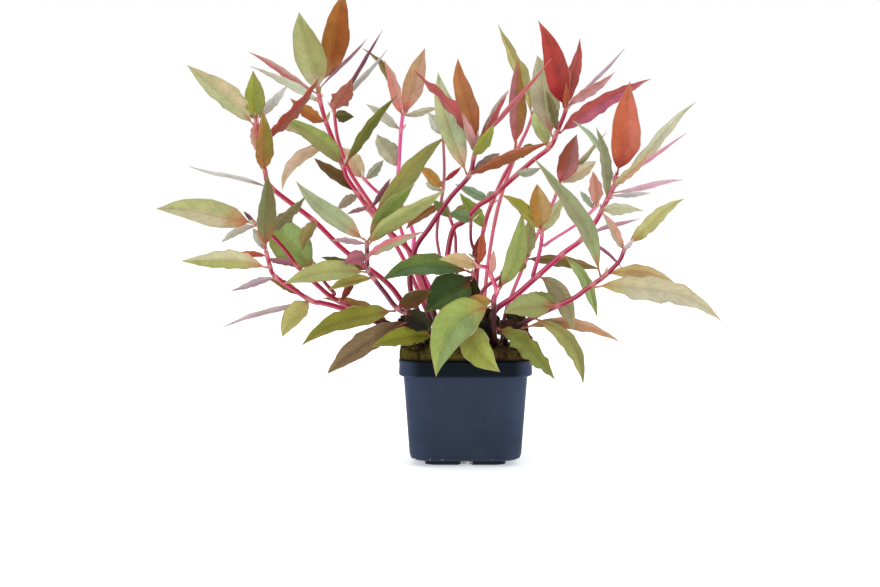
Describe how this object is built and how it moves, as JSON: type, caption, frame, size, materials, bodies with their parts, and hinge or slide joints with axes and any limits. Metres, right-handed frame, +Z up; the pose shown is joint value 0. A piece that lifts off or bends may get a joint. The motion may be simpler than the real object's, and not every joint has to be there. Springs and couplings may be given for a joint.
{
  "type": "potted aquarium plant",
  "caption": "Potted alternanthera reineckii: crimson stems with pointed green, bronze and red leaves, rooted in a soil plug in a square dark nursery pot.",
  "frame": {"origin": "centre of the flat underside of the pot's foot", "axes": "+Z up along the pot; +X to the right and -Y towards the viewer when the plant's broad side is seen"},
  "size_m": [0.3699, 0.2135, 0.3231],
  "materials": {
    "leaf_beige": "satin",
    "leaf_bronze": "satin",
    "leaf_dark_green": "satin",
    "leaf_dark_olive": "satin",
    "leaf_dark_red": "satin",
    "leaf_green": "satin",
    "leaf_grey_green": "satin",
    "leaf_mauve": "satin",
    "leaf_olive": "satin",
    "leaf_orange": "satin",
    "leaf_pale_green": "satin",
    "leaf_red": "satin",
    "leaf_tan": "satin",
    "pot": "satin",
    "soil": "matte",
    "stem": "satin"
  },
  "bodies": {
    "root": {"leaf_centre_pale_large": "leaf_pale_green", "leaf_centre_red_wavy": "leaf_red", "leaf_centre_right_mauve": "leaf_mauve", "leaf_crown_green": "leaf_dark_green", "leaf_front_inner_green": "leaf_green", "leaf_front_large_green": "leaf_green", "leaf_front_left_green": "leaf_green", "leaf_front_left_grey": "leaf_grey_green", "leaf_front_low_green": "leaf_olive", "leaf_left_long_tan": "leaf_tan", "leaf_left_low_beige": "leaf_beige", "leaf_left_low_broad": "leaf_olive", "leaf_left_round_green": "leaf_green", "leaf_left_upright_dark": "leaf_dark_olive", "leaf_low_left_brown": "leaf_bronze", "leaf_low_left_olive": "leaf_olive", "leaf_low_right_broad": "leaf_pale_green", "leaf_low_right_orange": "leaf_orange", "leaf_low_right_wavy": "leaf_olive", "leaf_right_dark_red_long": "leaf_dark_red", "leaf_right_grey_long": "leaf_grey_green", "leaf_right_low_long": "leaf_tan", "leaf_right_low_olive": "leaf_olive", "leaf_right_olive_long": "leaf_beige", "leaf_right_orange": "leaf_orange", "leaf_right_pale_broad": "leaf_beige", "leaf_top_left_olive": "leaf_olive", "leaf_top_left_orange": "leaf_orange", "leaf_top_right_red": "leaf_red", "leaf_upper_centre_olive": "leaf_olive", "leaf_upper_dark_narrow": "leaf_dark_olive", "leaf_upper_left_beige": "leaf_beige", "leaf_upper_left_red": "leaf_red", "pot": "pot", "soil_plug": "soil", "stem_back_left": "stem", "stem_back_pink": "stem", "stem_back_right": "stem", "stem_back_short": "stem", "stem_back_thin": "stem", "stem_centre_dark": "stem", "stem_centre_low": "stem", "stem_centre_right": "stem", "stem_centre_thin": "stem", "stem_crown": "stem", "stem_front_left": "stem", "stem_front_right": "stem", "stem_left_fork": "stem", "stem_left_low": "stem", "stem_left_middle": "stem", "stem_left_upper": "stem", "stem_right_back": "stem", "stem_right_fork": "stem", "stem_right_low": "stem", "stem_right_main": "stem", "stem_right_pale": "stem", "stem_right_upper": "stem", "stem_upper_left": "stem", "stem_upper_left_back": "stem"}
  },
  "joints": []
}
